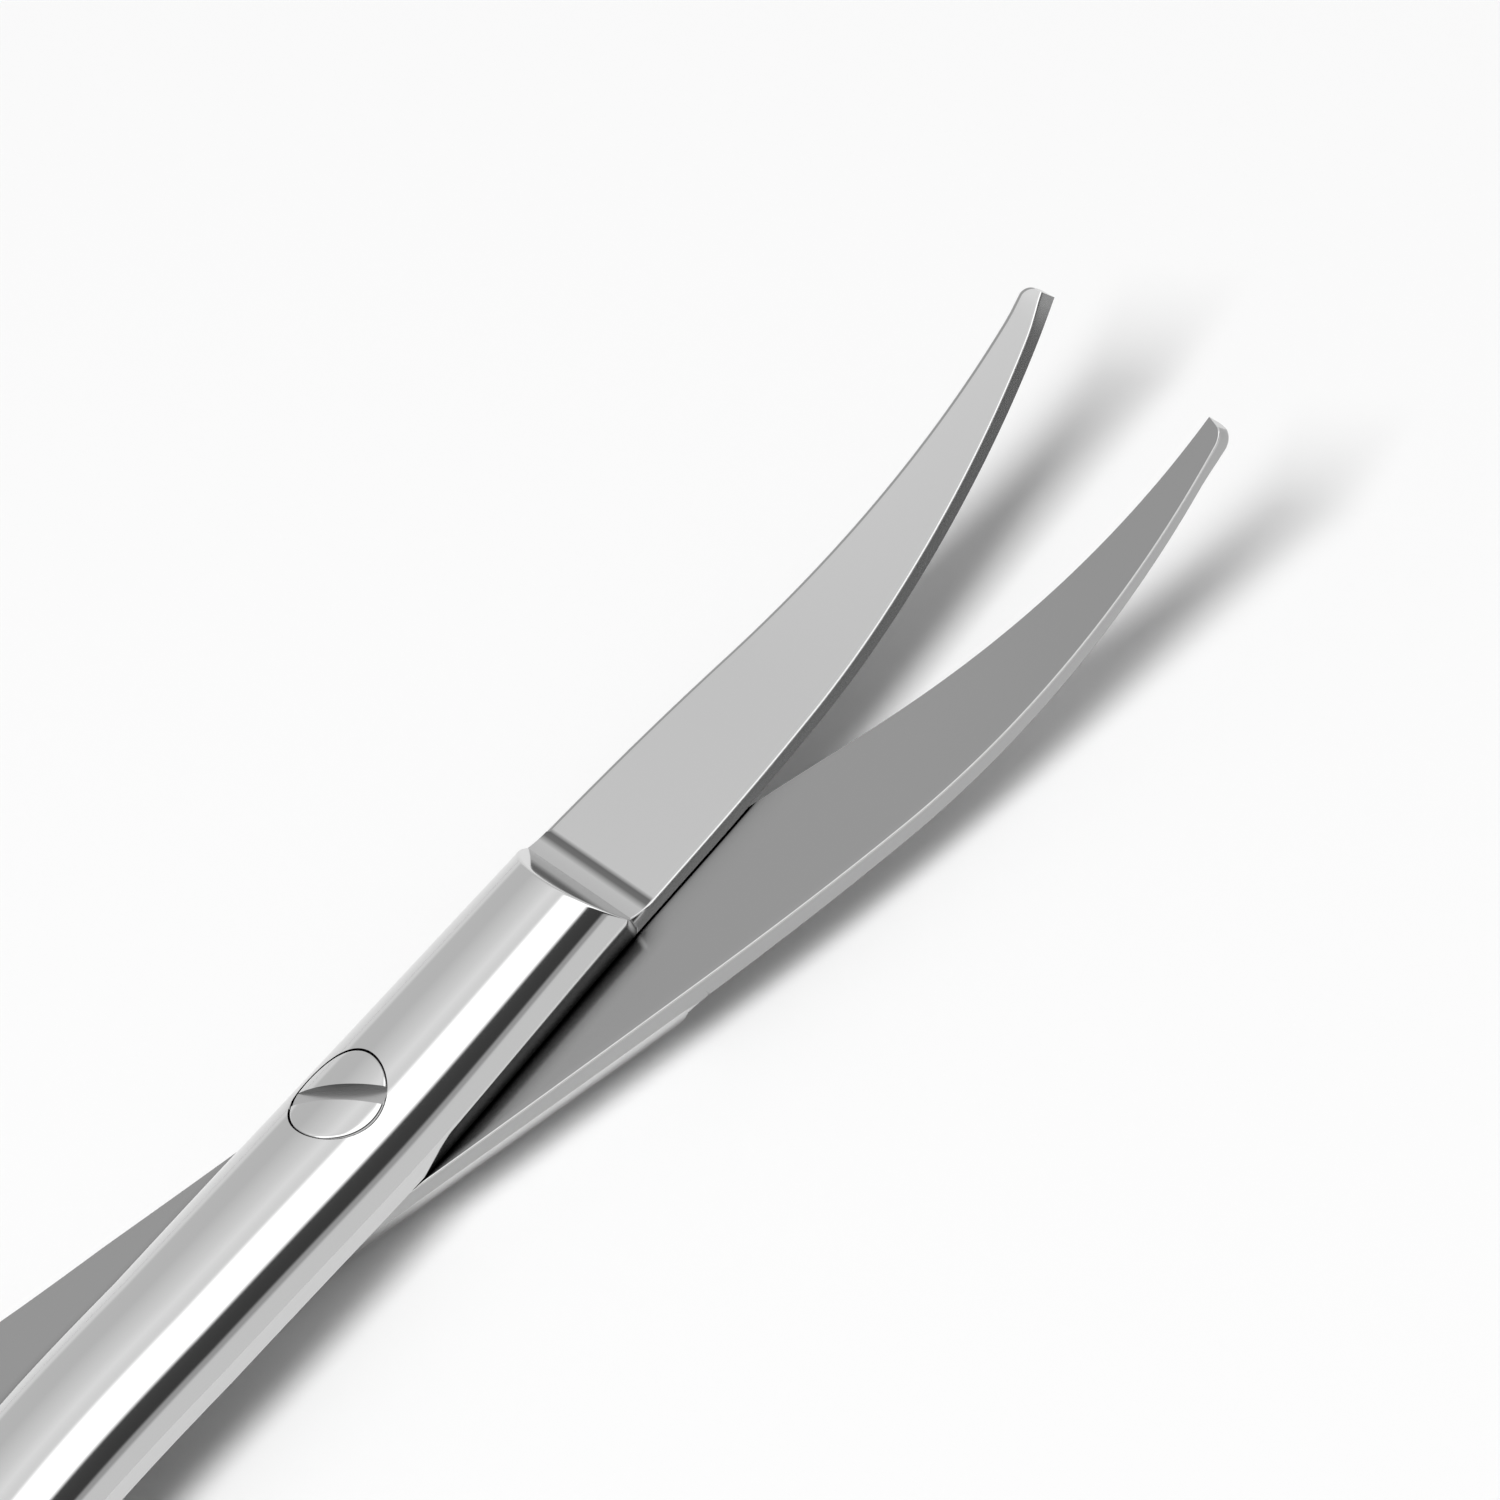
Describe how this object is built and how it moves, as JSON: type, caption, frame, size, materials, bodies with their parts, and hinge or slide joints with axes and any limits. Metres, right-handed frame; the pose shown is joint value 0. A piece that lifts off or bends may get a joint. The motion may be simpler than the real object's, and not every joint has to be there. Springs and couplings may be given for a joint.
{
  "type": "iris scissors",
  "caption": "Small curved surgical scissors: lapped halves on a slotted pivot screw, with fine up-curved blades and oval finger rings.",
  "frame": {"origin": "on the pivot axis, in the plane where the halves meet", "axes": "+X to the blade tips along the middle of the opening, +Z along the pivot axis to the slotted screw head, +Y to the left of the tips"},
  "size_m": [0.1125, 0.0672, 0.0068],
  "materials": {
    "polished_steel": "polished shank and joint, satin ground blades",
    "screw_steel": "polished flush with the joint"
  },
  "bodies": {
    "lower": {"lower_half": "polished_steel", "pivot_screw": "screw_steel"},
    "upper": {"upper_half": "polished_steel"}
  },
  "joints": [
    {"name": "blade_pivot", "type": "hinge", "parent": "lower", "child": "upper", "pos_m": [0, 0, 0], "axis": [0, 0, 1], "range_deg": [-16.2, 43.8]}
  ]
}
